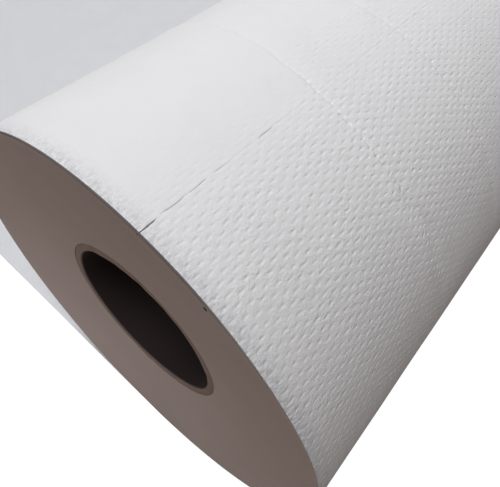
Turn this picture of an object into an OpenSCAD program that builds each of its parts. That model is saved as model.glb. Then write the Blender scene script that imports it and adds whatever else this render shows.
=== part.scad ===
// Roll of examination table paper, lying on its side with one sheet drawn off.
// The roll's axis runs along Y. The origin is on that axis, half way along the core.
// The web leaves the roll at its lowest point and lies flat towards -X.

/* [Roll] */
// Width of the paper web, and length of the core
web_w = 500; // [300:10:600]
// Diameter over the outermost turn
roll_d = 120; // [90:1:150]
// Depth of the flat that the roll's own weight presses into its underside
flat_depth = 0.3; // [0.1:0.05:0.6]

/* [Core] */
// Outside diameter of the cardboard core
core_d = 52; // [40:1:60]
// Wall of the cardboard core
core_wall = 2.4; // [1.5:0.1:4]
// Rubbed-down edge at both ends of the core
core_edge = 0.4; // [0.2:0.1:0.6]

/* [Turns] */
// Distance by which the innermost turn and the core have slipped along the roll
slip = 4.2; // [2:0.1:8]
// Turns that show as separate edges on the ends, each a bundle of thin ones
shown_turns = 16; // [8:1:24]
// Height of the small lip between two neighbouring turns
turn_lip = 0.05; // [0.02:0.01:0.06]
// Width of the smooth rim that the outermost turns leave on the ends
rim_w = 1; // [0.5:0.1:2]

/* [Web] */
// Thickness of the embossed two-ply web
web_t = 0.4; // [0.2:0.05:0.6]
// Length of one sheet, from perforation to perforation
sheet_l = 450; // [420:5:600]

/* [Perforation] */
// Angle of the perforation on the roll, past the top towards +X
perf_angle = 10; // [-20:1:40]
// Distance from one cut of the perforation to the next
cut_pitch = 6; // [5:0.5:12]
// Length of one cut
cut_l = 4; // [2:0.5:4.5]
// Width of one cut
cut_w = 0.4; // [0.2:0.1:0.8]
// Depth of one cut
cut_depth = 0.3; // [0.2:0.05:0.5]

/* [Creases] */
// Distance of the first crease from the near end of the roll
crease_near = 52; // [20:1:65]
// Distance of the second crease from the near end of the roll
crease_far = 83; // [75:1:140]
// Width of a crease
crease_w = 3; // [1:0.5:6]
// Depth of a crease
crease_depth = 0.25; // [0.1:0.05:0.35]

/* [Hidden] */
$fn = 128;

roll_r = roll_d / 2;
core_r = core_d / 2;
bore_r = core_r - core_wall;

// The outer turns end nearer the viewer than the core does, by the slip
near_y = -web_w / 2 - slip;
far_y = web_w / 2 - slip;
table_z = -roll_r + flat_depth;

// One band is a bundle of turns, and each band has slipped one step past the next
band = (roll_r - rim_w - core_r) / shown_turns;
step = slip / shown_turns;

// The web reaches from the perforation over the +X side to the bottom, and on along the table
wrapped_l = PI * roll_r * (180 - perf_angle) / 180;
tail_l = sheet_l - wrapped_l;

cut_count = floor((web_w - cut_l) / cut_pitch) + 1;
over = 1;

// Radius of the edge between two bands, counted from the core
function turn_r(k) = core_r + k * band;

// Edges of the slipped turns as radius and slip, from the rim in to the core
function turn_edges(inward) = [
    for (k = [shown_turns : -1 : 1])
        for (inner = [0, 1])
            [
                turn_r(k - inner) - inward,
                (shown_turns - k) * step + turn_lip + inner * (step - turn_lip)
            ]
];

// Everything in front of the dished near end
function dish_profile(inward) = concat(
    [[0, -over], [turn_r(shown_turns) - inward, -over]],
    turn_edges(inward),
    [[0, slip]]
);

// Everything behind the bulging far end
function bulge_profile(inward) = concat(
    [[roll_r + over, slip + over], [roll_r + over, 0], [turn_r(shown_turns) - inward, 0]],
    turn_edges(inward),
    [[core_r / 2, slip], [core_r / 2, slip + over]]
);

// Turns a profile of radius and depth half way round the roll's axis, on the +X side
module half_turn_right() {
    rotate([-90, 0, 0])
        rotate([0, 0, -90])
            rotate_extrude(angle = 180)
                children();
}

// The other half, lifted by half the spiral's growth in one turn, so that the two halves meet
module half_turn_left(growth) {
    translate([0, 0, growth / 2])
        rotate([-90, 0, 0])
            rotate([0, 0, 90])
                rotate_extrude(angle = 180)
                    children();
}

// Half of the wound roll's lengthwise section, out to the radius r, with its two creases
module wound_profile(r) {
    polygon(concat(
        [[0, near_y], [r, near_y]],
        [
            for (from_end = [crease_near, crease_far])
                for (side = [-1, 0, 1])
                    [
                        r - (side == 0 ? crease_depth : 0),
                        near_y + from_end + side * crease_w / 2
                    ]
        ],
        [[r, far_y + slip + over], [0, far_y + slip + over]]
    ));
}

// The outermost turn starts one web thickness inside itself
module wound_block() {
    half_turn_right() wound_profile(roll_r);
    half_turn_left(web_t) wound_profile(roll_r - web_t / 2);
}

module near_end_cut() {
    translate([0, near_y, 0]) {
        half_turn_right() polygon(dish_profile(0));
        half_turn_left(band) polygon(dish_profile(band / 2));
    }
}

module far_end_cut() {
    translate([0, far_y, 0]) {
        half_turn_right() polygon(bulge_profile(0));
        half_turn_left(band) polygon(bulge_profile(band / 2));
    }
}

// The free sheet, flat on the table, torn off at the next perforation
module tail() {
    translate([-tail_l, near_y, table_z])
        cube([tail_l, web_w, web_t]);
}

module perforation() {
    margin = (web_w - cut_l - (cut_count - 1) * cut_pitch) / 2;
    rotate([0, perf_angle, 0])
        for (i = [0 : cut_count - 1])
            translate([-cut_w / 2, near_y + margin + i * cut_pitch, roll_r - cut_depth])
                cube([cut_w, cut_l, cut_depth + over]);
}

module core() {
    color("tan")
        rotate([-90, 0, 0])
            rotate_extrude()
                polygon([
                    [bore_r, -web_w / 2 + core_edge],
                    [bore_r + core_edge, -web_w / 2],
                    [core_r - core_edge, -web_w / 2],
                    [core_r, -web_w / 2 + core_edge],
                    [core_r, web_w / 2 - core_edge],
                    [core_r - core_edge, web_w / 2],
                    [bore_r + core_edge, web_w / 2],
                    [bore_r, web_w / 2 - core_edge]
                ]);
}

module paper() {
    color("white")
        difference() {
            union() {
                difference() {
                    wound_block();
                    near_end_cut();
                    far_end_cut();
                    translate([-roll_r, near_y - over, table_z - roll_r])
                        cube([2 * roll_r, web_w + slip + 3 * over, roll_r]);
                }
                tail();
            }
            rotate([90, 0, 0])
                cylinder(r = core_r, h = 2 * web_w, center = true);
            perforation();
        }
}

core();
paper();
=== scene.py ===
# %% [markdown]
# # A roll of examination table paper
# The object is a long roll of embossed tissue on a cardboard core. It lies on its side, and one
# sheet has been drawn off to the left, where it lies flat. The construction already exists as a
# solid model. This script dresses it: it rolls the tissue from a flat grid, presses the dashes
# and creases into it, and gives paper and cardboard their surfaces.
# Everything is in metres. The roll's axis runs along Y, and Z is up.

# %% Load the solid model and measure it
import math

import bmesh
import bpy
from mathutils import Matrix, Vector, noise


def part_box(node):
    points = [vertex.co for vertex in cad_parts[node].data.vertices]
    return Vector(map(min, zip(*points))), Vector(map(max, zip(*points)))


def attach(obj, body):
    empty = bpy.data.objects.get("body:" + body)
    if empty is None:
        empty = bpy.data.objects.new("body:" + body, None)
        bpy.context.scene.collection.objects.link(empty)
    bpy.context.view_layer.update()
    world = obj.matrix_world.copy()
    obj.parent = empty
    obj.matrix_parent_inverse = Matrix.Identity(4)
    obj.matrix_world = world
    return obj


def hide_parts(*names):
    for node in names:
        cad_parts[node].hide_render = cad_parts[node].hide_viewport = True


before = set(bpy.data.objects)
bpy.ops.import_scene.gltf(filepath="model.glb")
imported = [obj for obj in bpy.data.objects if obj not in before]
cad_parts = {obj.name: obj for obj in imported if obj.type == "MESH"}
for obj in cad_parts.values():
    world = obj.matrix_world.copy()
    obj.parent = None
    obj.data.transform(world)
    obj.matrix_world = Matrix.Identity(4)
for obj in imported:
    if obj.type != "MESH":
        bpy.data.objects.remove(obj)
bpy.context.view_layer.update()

MM = 0.001
core_low, core_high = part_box("core")
paper_low, paper_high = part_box("paper")

roll_r = paper_high.z
table_z = paper_low.z
core_r = core_high.z
near_y = paper_low.y
web_w = core_high.y - core_low.y
slip = core_low.y - near_y
tail_l = -paper_low.x
print("roll", round(2 * roll_r, 4), "core", round(2 * core_r, 4), "free sheet", round(tail_l, 4))

# %% [markdown]
# ## The web as a flat pattern
# Real tissue is embossed and perforated while it is flat, and only then wound. Working in the
# same order keeps every feature easy to place: a point of the pattern is a distance along the web
# and a distance across it. Distance along the web starts at the roll's lowest line, where the
# free sheet leaves it, and grows up the right side and over the top.
# The emboss repeats a whole number of times round the roll, so the seam doesn't show.

# %% Sizes of the web's pattern
web_t = 0.4 * MM
turn_l = 2 * math.pi * roll_r
DASHES_ROUND = 162
DASHES_ALONG = 117
pitch_round = turn_l / DASHES_ROUND
pitch_along = web_w / DASHES_ALONG
# How abruptly a dash ends, across its width and at its tips
NARROW_POWER = 9
WIDE_POWER = 3.6
dash_depth = 0.1 * MM
print("emboss pitch", round(pitch_round / MM, 2), "by", round(pitch_along / MM, 2), "mm")


def past_top(along):
    """Angle from the roll's top towards the right, in radians, of a distance along the web."""
    return math.pi - along / roll_r


def along_at(degrees_past_top):
    return turn_l / 2 - math.radians(degrees_past_top) * roll_r


def hump(x, centre, half_w):
    """A smooth hump, 1 at its centre and 0 from half_w on."""
    t = abs(x - centre) / half_w
    return 0.0 if t >= 1 else 0.5 + 0.5 * math.cos(math.pi * t)


def ramp(low, high, x):
    t = min(1.0, max(0.0, (x - low) / (high - low)))
    return t * t * (3 - 2 * t)


# %% [markdown]
# ## Dashes, creases and cuts as heights
# The embossing roller presses short dashes into the web in staggered rows, and the web stands up
# softly between them. One set of dashes is the product of a narrow wave round the roll and a wide
# wave along it, and the other set is the same, moved by half a pitch both ways. Two creases run
# round the roll near its end, and the perforation is a line of short cuts. Smooth noise makes
# each of them uneven, as handling does. All are functions of the flat pattern, so one loop over
# the vertices can apply them. Painting them as a texture would be quicker, but the roll's mesh
# would then be a plain cylinder from close by.

# %% The height of the web at a point of the pattern
PERF_DEGREES = 10
perf_at = along_at(PERF_DEGREES)
PERF_PITCH = 6 * MM
PERF_CUT = 4.2 * MM
perf_half_w = 0.07 * MM
perf_depth = 0.3 * MM
perf_wander = 0.14 * MM
perf_closed_by = 75 * MM

crease_near = 49.5 * MM
crease_far = 83 * MM
crease_half_w = 0.9 * MM
crease_depth = 0.3 * MM
crease_bow = 6 * MM
crease_wander = 0.7 * MM

# The least that is left of the dashes, and what comes back of them beyond the first crease
LEAST_LEFT = 0.25
BACK_BEYOND = 0.6

slack_height = 0.3 * MM
crinkle_height = 0.03 * MM
fray_w = 5 * MM
burr_height = 0.14 * MM
curl_depth = 0.3 * MM
print("perforation", round(perf_at / MM, 1), "mm along the web, creases",
      [round(place / MM, 1) for place in (crease_near, crease_far)], "mm across it")


def rough(along, across, round_per_m, across_per_m, seed):
    """Smooth noise from -1 to 1 that changes so many times a metre round the roll and across."""
    return noise.noise(Vector((along * round_per_m, across * across_per_m, seed)))


def dash_set(u, v):
    narrow = (0.5 + 0.5 * math.cos(2 * math.pi * u)) ** NARROW_POWER
    wide = (0.5 + 0.5 * math.cos(2 * math.pi * v)) ** WIDE_POWER
    return narrow * wide


def emboss(along, across):
    u = along / pitch_round
    v = across / pitch_along
    return dash_set(u, v) + dash_set(u + 0.5, v + 0.5)


def emboss_left(along, across):
    """How much of the emboss is left: it is worn unevenly, and smoother before the perforation."""
    right = ramp(0.02, 0.32, past_top(along))
    beyond = ramp(-2 * MM, 6 * MM, across - crease_line(along))
    worn = 1 + 0.4 * noise.noise(Vector((along / pitch_round * 0.8, across / pitch_along * 0.8, 0.5)))
    return worn * (LEAST_LEFT + (1 - LEAST_LEFT) * max(right, BACK_BEYOND * beyond))


def crease_line(along):
    """The first crease bows away from the end on both sides of the roll's upper right."""
    bow = (past_top(along) - math.radians(25)) / math.radians(50)
    wander = crease_wander * rough(along, 0, 120, 0, 9)
    return crease_near + crease_bow * min(bow * bow, 1.2) + wander


def creases(along, across):
    """Sharp and broken over the top, wide and soft down the right side, and gone below that.

    The numbers in front of the parts are shares of the crease's depth.
    """
    line = crease_line(along)
    side = ramp(0.4, 0.9, past_top(along))
    fading = 1 - ramp(0.9, 1.25, past_top(along))
    flecks = rough(along, across, 1000, 600, 2) * ramp(-0.06, 0.04, past_top(along))
    ridge = hump(across, line - crease_half_w, crease_half_w)
    sharp = hump(across, line, crease_half_w) - 0.6 * ridge
    valley = hump(across, line + 0.8 * MM, 3.2 * crease_half_w)
    top = (0.7 + 1.1 * flecks) * sharp + 0.9 * valley
    swell = hump(across, line - 4 * MM, 4 * crease_half_w)
    soft = hump(across, line + MM, 3 * crease_half_w) - 0.7 * swell
    second = hump(across, crease_far, 2 * crease_half_w)
    return -crease_depth * ((1 - side) * top + fading * (2 * side * soft + 1.4 * second))


def cut_strength(along, across):
    """Near 1 in an open cut of the perforation. Further along the roll the cuts have closed up."""
    if abs(along - perf_at) > perf_half_w or across % PERF_PITCH > PERF_CUT:
        return 0.0
    number = across // PERF_PITCH
    if number == 0:
        return 0.9
    opened = 0.55 + 0.5 * noise.noise(Vector((number * 3.3, 1.7, 0)))
    return max(0.08, min(1.0, opened - across / perf_closed_by))


def stray(along, across):
    """The perforation isn't quite straight, and the web beside it wanders with it."""
    return perf_wander * noise.noise(Vector((across * 260, 0, 4))) * hump(along, perf_at, 3 * MM)


def unevenness(along, across):
    """The slack of a loosely wound web: long, low waves that run mostly round the roll."""
    at = Vector((along * 14, across * 22, 3.7))
    slack = noise.noise(at) + 0.4 * noise.noise(at * 3.1)
    return slack_height * slack + crinkle_height * rough(along, across, 420, 260, 6)


def fray(along, across):
    """The outermost turns curl in at the sawn end, and the saw left a burr on them."""
    curl = (1 - ramp(0, 0.6 * fray_w, across)) ** 2
    burr = (1 - ramp(0, fray_w, across)) * rough(along, across, 1800, 1500, 8)
    return burr_height * burr - curl_depth * curl


# %% [markdown]
# ## A flat grid
# The grid's coarse cells are two dashes long and three wide. The cells that the picture looks at
# closely are subdivided until a dash spans several vertices. Narrow columns are cut in beside
# the perforation and narrow rows along the creases, because these are finer than the cells.

# %% Cut the grid
CELLS_ROUND = DASHES_ROUND // 2
CELLS_ALONG = DASHES_ALONG // 3
ROUND_CUTS = 15
ALONG_CUTS = 17
# The picture looks closely at this much of the roll's length, and at less of it to both sides
CLOSE_REACH = 104 * MM
REACH_LOST = 50 * MM


def flat_grid(length, width, cells_long, cells_wide):
    bm = bmesh.new()
    bmesh.ops.create_grid(bm, x_segments=cells_long, y_segments=cells_wide, size=0.5)
    bmesh.ops.translate(bm, vec=(0.5, 0.5, 0), verts=bm.verts)
    bmesh.ops.scale(bm, vec=(length, width, 1), verts=bm.verts)
    return bm


def faces_the_camera(along):
    return -2 < math.degrees(past_top(along)) < 82


def seen_closely(along, across):
    reach = CLOSE_REACH - REACH_LOST * abs(math.degrees(past_top(along)) - 18) / 62
    return faces_the_camera(along) and across < reach


def divide(bm, axis, cuts, chosen):
    """Divides the chosen cells in one direction: 0 is round the roll and 1 is along it."""
    edges = set()
    for face in bm.faces:
        centre = face.calc_center_median()
        if chosen(centre.x, centre.y):
            for edge in face.edges:
                span = edge.verts[0].co - edge.verts[1].co
                if abs(span[axis]) > 3 * abs(span[1 - axis]):
                    edges.add(edge)
    bmesh.ops.subdivide_edges(bm, edges=list(edges), cuts=cuts, use_grid_fill=True)


def cut_lines(bm, axis, places):
    normal = Vector((1 - axis, axis, 0))
    for place in places:
        geom = bm.verts[:] + bm.edges[:] + bm.faces[:]
        bmesh.ops.bisect_plane(bm, geom=geom, plane_co=normal * place, plane_no=normal)


web_bm = flat_grid(turn_l, web_w, CELLS_ROUND, CELLS_ALONG)
divide(web_bm, 0, 1, lambda along, across: not faces_the_camera(along))
divide(web_bm, 0, ROUND_CUTS, lambda along, across: faces_the_camera(along))
divide(web_bm, 1, ALONG_CUTS, seen_closely)
cut_lines(web_bm, 0, [perf_at + side * perf_half_w * k for side in (-1, 1) for k in (0.8, 2)])
frayed_rows = [0.04, 0.09, 0.18, 0.3, 0.46, 0.68, 1]
cut_lines(web_bm, 1, [fray_w * share for share in frayed_rows])
cut_lines(web_bm, 1, [crease_far + crease_half_w * k for k in (-2, -1, 0, 1, 2)])
crease_row = 0.55 * MM
cut_lines(web_bm, 1, [crease_near + crease_row * k for k in range(-5, 14)])
print("web cells", len(web_bm.faces))

# %% [markdown]
# ## Rolling it up
# Every vertex moves from the pattern to the roll. The left half sinks by one web thickness on its
# way down, so that it comes to lie on the free sheet, as the next turn of a real roll does. The
# pattern's own coordinates are kept as a UV map for the surface. Four attributes note where the
# dashes are real geometry, where a cut is, how much of the emboss is left and how frayed the
# web is, because the material reads them later.

# %% Roll the web up
# The web lies this far inside the solid's round wall, which leaves room for its waves
rest_depth = 0.2 * MM


def turn_radius(angle):
    """Radius of the outermost turn at an angle from the bottom, up the right side."""
    return roll_r - (web_t / 2 * (1 + math.cos(angle)) if angle > math.pi else 0.0)


def keep_pattern(bm):
    uv = bm.loops.layers.uv.new("pattern")
    for face in bm.faces:
        for loop in face.loops:
            place = loop.vert.co
            loop[uv].uv = (place.x / pitch_round, place.y / pitch_along)


def roll_up(bm):
    pressed = bm.verts.layers.float.new("pressed")
    cut = bm.verts.layers.float.new("cut")
    left = bm.verts.layers.float.new("left")
    frayed = bm.verts.layers.float.new("frayed")
    for vert in bm.verts:
        along, across = vert.co.x, vert.co.y
        angle = (along + stray(along, across)) / roll_r
        fine = seen_closely(along, across)
        vert[pressed] = 1.0 if fine else 0.0
        vert[cut] = cut_strength(along, across)
        vert[left] = emboss_left(along, across)
        vert[frayed] = 1 - ramp(0, fray_w, across)
        height = creases(along, across) + unevenness(along, across) - rest_depth
        height += fray(along, across) - perf_depth * vert[cut]
        if fine:
            height -= dash_depth * vert[left] * emboss(along, across)
        radius = turn_radius(angle) + height
        low = table_z if angle < math.pi else table_z + web_t
        x = radius * math.sin(angle)
        z = max(-radius * math.cos(angle), low)
        if min(along, turn_l - along) < 0.1 * MM:
            x, z = 0.0, table_z + web_t / 2
        vert.co = (x, near_y + across, z)


keep_pattern(web_bm)
roll_up(web_bm)
bmesh.ops.remove_doubles(web_bm, verts=web_bm.verts, dist=0.01 * MM)
print("web vertices", len(web_bm.verts))

# %% [markdown]
# ## The ends
# A finished roll telescopes: the turns have slid along each other, so the near end is a shallow
# dish and the far end bulges. The open rim is extruded inwards ring by ring. Each bundle of turns
# is one step of the dish with a tiny lip, and a thin groove behind the rim is the gap under the
# burr of the outermost turns.

# %% Extrude both ends inwards
BUNDLES = 16
rim_w = 1.0 * MM
# The saw's burr, the thin gap behind it and the face behind that, as distances in from the rim
burr_inset = 0.04 * MM
groove_inset = 0.09 * MM
face_inset = 0.17 * MM
burr_step = 0.02 * MM
near_groove = 0.4 * MM
far_groove = 0.1 * MM
lip = 0.05 * MM
band = (roll_r - rim_w - core_r) / BUNDLES
step = slip / BUNDLES


def end_rings(groove_depth, with_lips):
    """Rings from the rim to the core, as distance in from the outermost turn and depth."""
    rings = [(burr_inset, burr_step), (groove_inset, groove_depth), (face_inset, burr_step)]
    rings.append((rim_w, 0.0))
    for k in range(BUNDLES):
        if with_lips:
            rings.append((rim_w + (k + 0.25) * band, k * step + lip))
        rings.append((rim_w + (k + 1) * band, (k + 1) * step))
    return rings


def ring_point(angle, inset, y):
    """A point of an end ring. Rings spiral in on their way round, most of them by one band."""
    web_depth = roll_r - core_r
    outer = turn_radius(angle)
    radius = outer - inset * (outer - core_r) / web_depth
    if angle > math.pi and inset > rim_w:
        near_core = min(1.0, (web_depth - inset) / (2 * band))
        back_again = min(1.0, (2 * math.pi - angle) / 0.1)
        radius -= band / 2 * (1 + math.cos(angle)) * near_core * back_again
    lowest = table_z + min(inset, rim_w)
    return Vector((radius * math.sin(angle), y, max(-radius * math.cos(angle), lowest)))


def loop_at(bm, y, tolerance):
    return [e for e in bm.edges if e.is_boundary and all(abs(v.co.y - y) < tolerance for v in e.verts)]


def groove_opening(angle):
    """The gap under the burr is open over the top of the roll and closes down the right side."""
    return 1 - 0.85 * ramp(0.3, 1.0, past_top(angle * roll_r))


def close_end(bm, y, groove_depth, with_lips):
    shade = bm.verts.layers.float["cut"]
    edges = loop_at(bm, y, 0.1 * MM)
    for inset, depth in end_rings(groove_depth, with_lips):
        grown = bmesh.ops.extrude_edge_only(bm, edges=edges)["geom"]
        edges = [g for g in grown if isinstance(g, bmesh.types.BMEdge)]
        for vert in {v for e in edges for v in e.verts}:
            angle = math.atan2(vert.co.x, -vert.co.z) % (2 * math.pi)
            in_groove = inset <= groove_inset
            opened = groove_opening(angle) if in_groove else 1.0
            vert.co = ring_point(angle, inset, y + depth * opened)
            # Painted shade in the gap under the burr, as strong as the gap is open, kept in the cut
            # attribute.
            vert[shade] = opened if in_groove else 0.0
        for edge in edges:
            for face in edge.link_faces:
                face.material_index = 1
    return edges


far_end = near_y + web_w
bore = close_end(web_bm, near_y, near_groove, with_lips=True)
close_end(web_bm, far_end, far_groove, with_lips=False)
grown = bmesh.ops.extrude_edge_only(web_bm, edges=bore)["geom"]
for vert in [g for g in grown if isinstance(g, bmesh.types.BMVert)]:
    vert.co.y = far_end + slip
bmesh.ops.remove_doubles(web_bm, verts=web_bm.verts, dist=0.01 * MM)
print("rings on the near end", len(end_rings(near_groove, with_lips=True)), "faces", len(web_bm.faces))

# %% [markdown]
# ## Finishing a mesh
# Faces are turned outwards and shaded smooth, and edges sharper than a fold stay sharp. On a
# closed mesh with a hole through it, the operator that makes all faces agree may turn them all
# inwards. The mesh's signed volume is then negative, and the faces are reversed.

# %% Make objects from meshes


def make_piece(bm, name, materials, sharp_degrees=40):
    bmesh.ops.recalc_face_normals(bm, faces=bm.faces)
    closed = not any(edge.is_boundary for edge in bm.edges)
    if closed and bm.calc_volume(signed=True) < 0:
        bmesh.ops.reverse_faces(bm, faces=bm.faces)
    for face in bm.faces:
        face.smooth = True
    mesh = bpy.data.meshes.new(name)
    bm.to_mesh(mesh)
    bm.free()
    mesh.set_sharp_from_angle(angle=math.radians(sharp_degrees))
    for material in materials:
        mesh.materials.append(material)
    piece = bpy.data.objects.new(name, mesh)
    bpy.context.collection.objects.link(piece)
    triangles = sum(len(p.vertices) - 2 for p in mesh.polygons)
    print(name, triangles, "triangles")
    return piece


# %% [markdown]
# ## Small helpers for materials
# A material is a graph of nodes. These helpers keep the graphs short to write: one makes a node
# and connects its inputs, and the others make the common ones, such as a sum or a noise.

# %% Node helpers


class Graph:
    def __init__(self, name):
        self.material = bpy.data.materials.new(name)
        self.material.use_nodes = True
        self.tree = self.material.node_tree
        self.tree.nodes.clear()
        self.out = self.tree.nodes.new("ShaderNodeOutputMaterial")

    def node(self, kind, inputs=None, **settings):
        made = self.tree.nodes.new(kind)
        for name, value in settings.items():
            setattr(made, name, value)
        for key, value in (inputs or {}).items():
            if isinstance(value, bpy.types.NodeSocket):
                self.tree.links.new(value, made.inputs[key])
            else:
                made.inputs[key].default_value = value
        return made

    def math(self, operation, *values):
        made = self.node("ShaderNodeMath", operation=operation)
        for socket, value in zip(made.inputs, values):
            if isinstance(value, bpy.types.NodeSocket):
                self.tree.links.new(value, socket)
            else:
                socket.default_value = value
        return made.outputs[0]

    def place(self):
        return self.node("ShaderNodeTexCoord").outputs["Object"]

    def noise(self, at, scale, detail=3.0, roughness=0.5):
        inputs = {"Vector": at, "Scale": scale, "Detail": detail, "Roughness": roughness}
        return self.node("ShaderNodeTexNoise", inputs).outputs["Fac"]

    def attribute(self, name):
        return self.node("ShaderNodeAttribute", attribute_name=name).outputs["Fac"]

    def mix(self, share, first, second):
        inputs = {"Factor": share, "A": first, "B": second}
        made = self.tree.nodes.new("ShaderNodeMix")
        made.data_type = "RGBA"
        slots = {"Factor": 0, "A": 6, "B": 7}
        for key, value in inputs.items():
            socket = made.inputs[slots[key]]
            if isinstance(value, bpy.types.NodeSocket):
                self.tree.links.new(value, socket)
            else:
                socket.default_value = value if key == "Factor" else (*value, 1.0)
        return made.outputs[2]

    def bump(self, height, distance, strength=1.0, normal=None):
        inputs = {"Height": height, "Distance": distance, "Strength": strength}
        if normal:
            inputs["Normal"] = normal
        return self.node("ShaderNodeBump", inputs).outputs["Normal"]

    def surface(self, shader):
        self.tree.links.new(shader, self.out.inputs["Surface"])
        return self.material


# %% [markdown]
# ## Tissue
# Two-ply tissue is white and matt. Fine fibres roughen it, and they lie a little unevenly, which
# shows as faint clouds. Where the mesh is too coarse for the dashes, the same dashes come from a
# bump on the pattern's coordinates, and where they are pressed into the mesh the bump sharpens
# them. The shade inside the cuts is painted in as a dark colour, and the shade among the frayed
# fibres is painted as grey streaks in the frayed band.

# %% Tissue for the wound wall and the free sheet
# The bump's share of a dash where the mesh is coarse, and where the dash is in the mesh
BUMP_COARSE = 0.7
BUMP_FINE = 0.5


def dash_wave(graph, coordinate, shift, sharpness):
    turned = graph.math("MULTIPLY_ADD", coordinate, 2 * math.pi, shift)
    wave = graph.math("MULTIPLY_ADD", graph.math("COSINE", turned), 0.5, 0.5)
    return graph.math("POWER", wave, sharpness)


def dash_pattern(graph):
    uv = graph.node("ShaderNodeUVMap", uv_map="pattern").outputs["UV"]
    split = graph.node("ShaderNodeSeparateXYZ", {"Vector": uv}).outputs
    sets = [
        graph.math(
            "MULTIPLY",
            dash_wave(graph, split[0], shift, NARROW_POWER),
            dash_wave(graph, split[1], shift, WIDE_POWER),
        )
        for shift in (0, math.pi)
    ]
    return graph.math("ADD", *sets)


def tissue_material(name, dull, bright):
    graph = Graph(name)
    at = graph.place()
    clouds = graph.noise(at, 90.0, detail=4.0, roughness=0.6)
    colour = graph.mix(clouds, dull, bright)
    # Painted shade among the frayed fibres: grey streaks near the sawn end.
    streaks = graph.node(
        "ShaderNodeVectorMath", {0: at, 1: (1.0, 0.4, 1.0)}, operation="MULTIPLY"
    ).outputs["Vector"]
    fray_shade = graph.noise(streaks, 1900.0, detail=2.0, roughness=0.8)
    fray_shade = graph.math("MULTIPLY_ADD", fray_shade, 2.4, -0.85)
    fray_shade = graph.math("MULTIPLY", fray_shade, graph.attribute("frayed"))
    colour = graph.mix(fray_shade, colour, (0.52, 0.54, 0.57))
    # Painted shade inside the perforation's open cuts.
    colour = graph.mix(graph.attribute("cut"), colour, (0.22, 0.21, 0.21))
    finer = BUMP_COARSE - BUMP_FINE
    share = graph.math("MULTIPLY_ADD", graph.attribute("pressed"), finer, -BUMP_COARSE)
    share = graph.math("MULTIPLY", share, graph.attribute("left"))
    dents = graph.math("MULTIPLY", dash_pattern(graph), share)
    normal = graph.bump(dents, dash_depth)
    crinkle = graph.noise(at, 1500.0, detail=3.0, roughness=0.6)
    crinkle = graph.math("MULTIPLY", crinkle, graph.attribute("left"))
    normal = graph.bump(crinkle, 0.2 * MM, 0.8, normal)
    fibres = graph.noise(at, 2600.0, detail=3.0, roughness=0.7)
    normal = graph.bump(fibres, 0.05 * MM, 0.6, normal)
    shader = graph.node(
        "ShaderNodeBsdfPrincipled",
        {"Base Color": colour, "Roughness": 0.92, "Specular IOR Level": 0.2, "Normal": normal},
    )
    return graph.surface(shader.outputs["BSDF"])


# %% [markdown]
# ## Cut ends of the turns
# The ends of two hundred turns of tissue are a soft, warm grey face, partly because light that
# falls in between the plies comes back dimmed, and partly as painted shade: the face is coloured
# much darker and browner than the tissue. Noise that depends on the distance from the axis alone
# gives fine rings, and a second noise the fibres. One dark speck lies near the rim.

# %% Cut ends of the turns
speck_at = (25.6 * MM, near_y, 52.9 * MM)
speck_r = 0.5 * MM


def end_material():
    graph = Graph("tissue_ends")
    at = graph.place()
    split = graph.node("ShaderNodeSeparateXYZ", {"Vector": at}).outputs
    x_squared = graph.math("POWER", split[0], 2.0)
    z_squared = graph.math("POWER", split[2], 2.0)
    radius = graph.math("SQRT", graph.math("ADD", x_squared, z_squared))
    turns = graph.node("ShaderNodeCombineXYZ", {"X": radius}).outputs[0]
    layers = graph.noise(turns, 2600.0, detail=2.0, roughness=0.6)
    fibres = graph.noise(at, 1800.0, detail=4.0, roughness=0.7)
    clouds = graph.noise(at, 60.0, detail=3.0, roughness=0.5)
    # Much darker and browner than the tissue: partly light lost between the plies, partly painted
    # shade.
    colour = graph.mix(clouds, (0.475, 0.395, 0.37), (0.53, 0.445, 0.415))
    speck = graph.node(
        "ShaderNodeVectorMath", {0: at, 1: speck_at}, operation="DISTANCE"
    ).outputs["Value"]
    is_speck = graph.math("LESS_THAN", speck, speck_r)
    colour = graph.mix(is_speck, colour, (0.03, 0.025, 0.025))
    # Painted shade in the gap under the burr at the rim.
    colour = graph.mix(graph.attribute("cut"), colour, (0.15, 0.135, 0.135))
    normal = graph.bump(layers, 0.02 * MM, 0.5)
    normal = graph.bump(fibres, 0.05 * MM, 0.5, normal)
    shader = graph.node(
        "ShaderNodeBsdfPrincipled",
        {"Base Color": colour, "Roughness": 0.95, "Specular IOR Level": 0.15, "Normal": normal},
    )
    return graph.surface(shader.outputs["BSDF"])


# %% Dress the wound paper
tissue = tissue_material("tissue", (0.865, 0.865, 0.87), (0.92, 0.915, 0.92))
tissue_ends = end_material()
wound = make_piece(web_bm, "wound_paper", [tissue, tissue_ends])
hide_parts("paper")
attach(wound, "root")

# %% [markdown]
# ## The free sheet
# The sheet that has been drawn off lies on the table and runs in under the roll. It keeps a
# slight ripple from the winding. Its last edge was torn along the perforation, so short tabs
# stand along it where the ties broke.

# %% Lay the free sheet
TAIL_CELLS_LONG = 64
ripple_height = 0.9 * MM
tab_l = 0.6 * MM


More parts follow.
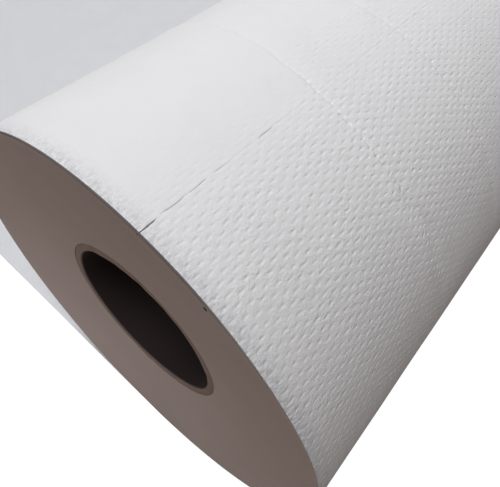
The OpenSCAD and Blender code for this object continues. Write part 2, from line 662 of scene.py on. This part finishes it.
def free_sheet():
    bm = flat_grid(tail_l, web_w, TAIL_CELLS_LONG, DASHES_ALONG)
    uv = bm.loops.layers.uv.new("pattern")
    for face in bm.faces:
        for loop in face.loops:
            place = loop.vert.co
            loop[uv].uv = ((place.x - tail_l) / pitch_round, place.y / pitch_along)
    left = bm.verts.layers.float.new("left")
    for vert in bm.verts:
        along, across = vert.co.x, vert.co.y
        free = ramp(0.0, 0.06, tail_l - along)
        ripple = 0.5 + 0.5 * rough(along, across, 25, 9, 1.3)
        torn = tab_l * abs(rough(0, across, 0, 900, 5)) if along < 1 * MM else 0.0
        vert[left] = 0.5
        vert.co = (along - tail_l + torn, near_y + across, table_z + ripple_height * ripple * free)
    bottom = bm.faces[:]
    grown = bmesh.ops.extrude_face_region(bm, geom=bottom, use_keep_orig=True)["geom"]
    lifted = [g for g in grown if isinstance(g, bmesh.types.BMVert)]
    bmesh.ops.translate(bm, vec=(0, 0, web_t), verts=lifted)
    return bm


# The same tissue coloured darker and bluer for the free sheet: partly a single sheet over the table,
# partly painted shade.
sheet_tissue_shaded = tissue_material("tissue_sheet", (0.71, 0.725, 0.745), (0.76, 0.775, 0.795))
sheet = make_piece(free_sheet(), "free_sheet", [sheet_tissue_shaded])
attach(sheet, "root")

# %% [markdown]
# ## The core
# A cardboard tube is wound from strips of grey-brown board in a steep helix. Its cut end is rough
# and a little dented. A cylinder with a hole would have knife edges, so the wall's lengthwise
# section gets rounded corners first and is then spun round the axis. Two extra rings near the
# ends keep the dents at the ends. Little light reaches the bore, and its board is coloured darker
# from just inside the ends.

# %% Make the core
core_wall = 2.4 * MM
core_edge = 0.4 * MM
dented_l = 5 * MM
DENT_SHARE = 0.035
fuzz_height = 0.15 * MM
shade_l = 0.6 * MM


def core_tube():
    """Spins the wall's lengthwise section round the axis."""
    bm = flat_grid(core_wall, web_w, 4, 1)
    bmesh.ops.translate(bm, vec=(core_r - core_wall, core_low.y, 0), verts=bm.verts)
    corners = [v for v in bm.verts if len(v.link_edges) == 2]
    bmesh.ops.bevel(
        bm, geom=corners, offset=core_edge, segments=3, profile=0.5, affect="VERTICES", material=-1
    )
    inside = [e for e in bm.edges if not e.is_boundary]
    bmesh.ops.delete(bm, geom=bm.faces[:], context="FACES_ONLY")
    bmesh.ops.delete(bm, geom=inside, context="EDGES")
    bmesh.ops.spin(
        bm, geom=bm.verts[:] + bm.edges[:], cent=(0, 0, 0), axis=(0, 1, 0),
        angle=2 * math.pi, steps=192, use_merge=True,
    )
    for y in (core_low.y + dented_l + MM, core_high.y - dented_l - MM):
        geom = bm.verts[:] + bm.edges[:] + bm.faces[:]
        bmesh.ops.bisect_plane(bm, geom=geom, plane_co=(0, y, 0), plane_no=(0, 1, 0))
    for vert in bm.verts:
        from_end = web_w / 2 - abs(vert.co.y)
        at_end = 1 - ramp(0, dented_l, from_end)
        dent = noise.noise(Vector((vert.co.x * 45, vert.co.z * 45, 4)))
        inside = 1 - ramp(core_r - core_wall, core_r - 0.4 * core_wall, vert.co.xz.length)
        squeeze = 1 + DENT_SHARE * at_end * inside * dent
        vert.co.x *= squeeze
        vert.co.z *= squeeze
        if from_end < core_edge / 2:
            vert.co.y += fuzz_height * noise.noise(vert.co * 300)
    return bm


def cardboard_material():
    graph = Graph("cardboard")
    at = graph.place()
    fibres = graph.noise(at, 900.0, detail=4.0, roughness=0.7)
    board = graph.mix(fibres, (0.22, 0.155, 0.13), (0.33, 0.245, 0.205))
    depth = graph.node("ShaderNodeSeparateXYZ", {"Vector": at}).outputs["Y"]
    inward = graph.math("SUBTRACT", web_w / 2, graph.math("ABSOLUTE", depth))
    shaded = graph.math("MULTIPLY", inward, 1 / shade_l)
    shaded = graph.math("MINIMUM", shaded, 1.0)
    colour = graph.mix(shaded, board, (0.027, 0.015, 0.015))
    normal = graph.bump(fibres, 0.08 * MM, 0.7)
    shader = graph.node(
        "ShaderNodeBsdfPrincipled", {"Base Color": colour, "Roughness": 0.9, "Normal": normal}
    )
    return graph.surface(shader.outputs["BSDF"])


core = make_piece(core_tube(), "core_tube", [cardboard_material()])
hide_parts("core")
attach(core, "root")

# %% [markdown]
# ## The table
# The table is plain and pale. A camera ray sees it nearly white, with the roll's soft shadow left
# in it, and every other ray sees a darker warm table, which is what tints the shaded end. For
# those rays the table is painted paler in a disc just in front of the end, a painted pool of
# light, so the end is brighter near the table.

# %% Lay the table
TABLE_SIZE = 6.0
TABLE_GLOW = 0.86
under_paper = 0.05 * MM
painted_pool_at = (-0.06, near_y - 0.04, table_z)
PAINTED_POOL_FULL = 0.03
PAINTED_POOL_END = 0.16


def table_material():
    graph = Graph("table")
    seen = graph.node("ShaderNodeLightPath").outputs["Is Camera Ray"]
    pale = graph.node("ShaderNodeBsdfDiffuse", {"Color": (0.45, 0.45, 0.45, 1)}).outputs[0]
    glow = graph.node("ShaderNodeEmission", {"Color": (1, 1, 1, 1), "Strength": TABLE_GLOW}).outputs[0]
    shown = graph.node("ShaderNodeAddShader", {0: pale, 1: glow}).outputs[0]
    distance = graph.node(
        "ShaderNodeVectorMath", {0: graph.place(), 1: painted_pool_at}, operation="DISTANCE"
    ).outputs["Value"]
    # A painted pool of light: for rays other than camera rays the table is paler near this point.
    lit = graph.node(
        "ShaderNodeMapRange",
        {"Value": distance, "From Min": PAINTED_POOL_END, "From Max": PAINTED_POOL_FULL, "To Min": 0.0, "To Max": 1.0},
    ).outputs[0]
    table_colour_with_painted_pool = graph.mix(lit, (0.37, 0.30, 0.25), (0.85, 0.80, 0.77))
    warm = graph.node("ShaderNodeBsdfDiffuse", {"Color": table_colour_with_painted_pool}).outputs[0]
    mixed = graph.node("ShaderNodeMixShader", {0: seen, 1: warm, 2: shown}).outputs[0]
    return graph.surface(mixed)


floor_bm = flat_grid(TABLE_SIZE, TABLE_SIZE, 2, 2)
corner = (-TABLE_SIZE / 2, -TABLE_SIZE / 2, table_z - under_paper)
bmesh.ops.translate(floor_bm, vec=corner, verts=floor_bm.verts)
table = make_piece(floor_bm, "table", [table_material()])

# %% [markdown]
# ## Light
# Two large soft lamps stand in for a window on the left and a pale ceiling. The roll's right side
# turns away from both and falls off gently, as in a room. The world adds a little light from all
# sides, and a camera ray that misses everything sees plain white.

# %% Light it
LAMP_DISTANCE = 2.5
LAMP_SIZE = 1.4


def area_light(name, towards, power, colour):
    data = bpy.data.lights.new(name, "AREA")
    data.shape = "DISK"
    data.size = LAMP_SIZE
    data.energy = power
    data.color = colour
    lamp = bpy.data.objects.new(name, data)
    direction = Vector(towards).normalized()
    lamp.location = direction * LAMP_DISTANCE
    lamp.rotation_euler = direction.to_track_quat("Z", "Y").to_euler()
    bpy.context.collection.objects.link(lamp)


area_light("window", (-0.55, 0.12, 0.82), 26.5, (0.99, 0.985, 1.0))
area_light("ceiling", (0.0, -0.3, 0.95), 30.0, (1.0, 0.99, 1.0))

world = bpy.data.worlds.new("room")
bpy.context.scene.world = world
world.use_nodes = True
nodes, links = world.node_tree.nodes, world.node_tree.links
room = nodes["Background"]
room.inputs["Color"].default_value = (0.95, 0.97, 1.0, 1)
room.inputs["Strength"].default_value = 0.05
backdrop = nodes.new("ShaderNodeBackground")
backdrop.inputs["Color"].default_value = (1, 1, 1, 1)
backdrop.inputs["Strength"].default_value = 1.0
seen = nodes.new("ShaderNodeLightPath").outputs["Is Camera Ray"]
either = nodes.new("ShaderNodeMixShader")
links.new(seen, either.inputs[0])
links.new(room.outputs[0], either.inputs[1])
links.new(backdrop.outputs[0], either.inputs[2])
links.new(either.outputs[0], nodes["World Output"].inputs["Surface"])

# %% [markdown]
# ## The camera
# The view is a close one, from just in front of the near end and above it, and looks down along
# the roll. A point, a direction and a roll about that direction are easier to read than three
# Euler angles. The small shifts move the frame without turning the camera.

# %% Place the camera
camera_at = Vector((49.0, -280.7, 130.5)) * MM
camera_forward = Vector((-0.3061, 0.5176, -0.799)).normalized()
camera_roll = math.radians(11.41)

camera_data = bpy.data.cameras.new("camera")
camera_data.sensor_fit = "HORIZONTAL"
camera_data.sensor_width = 36
camera_data.lens = 37.07
camera_data.shift_x = -0.0374
camera_data.shift_y = -0.0822
camera_data.clip_start = 0.01
camera = bpy.data.objects.new("camera", camera_data)
level = camera_forward.to_track_quat("-Z", "Y").to_matrix()
rolled = level @ Matrix.Rotation(camera_roll, 3, "Z")
camera.matrix_world = Matrix.Translation(camera_at) @ rolled.to_4x4()
bpy.context.collection.objects.link(camera)
bpy.context.scene.camera = camera
bpy.context.scene.view_settings.view_transform = "Standard"
print("camera", [round(c, 4) for c in camera_at])
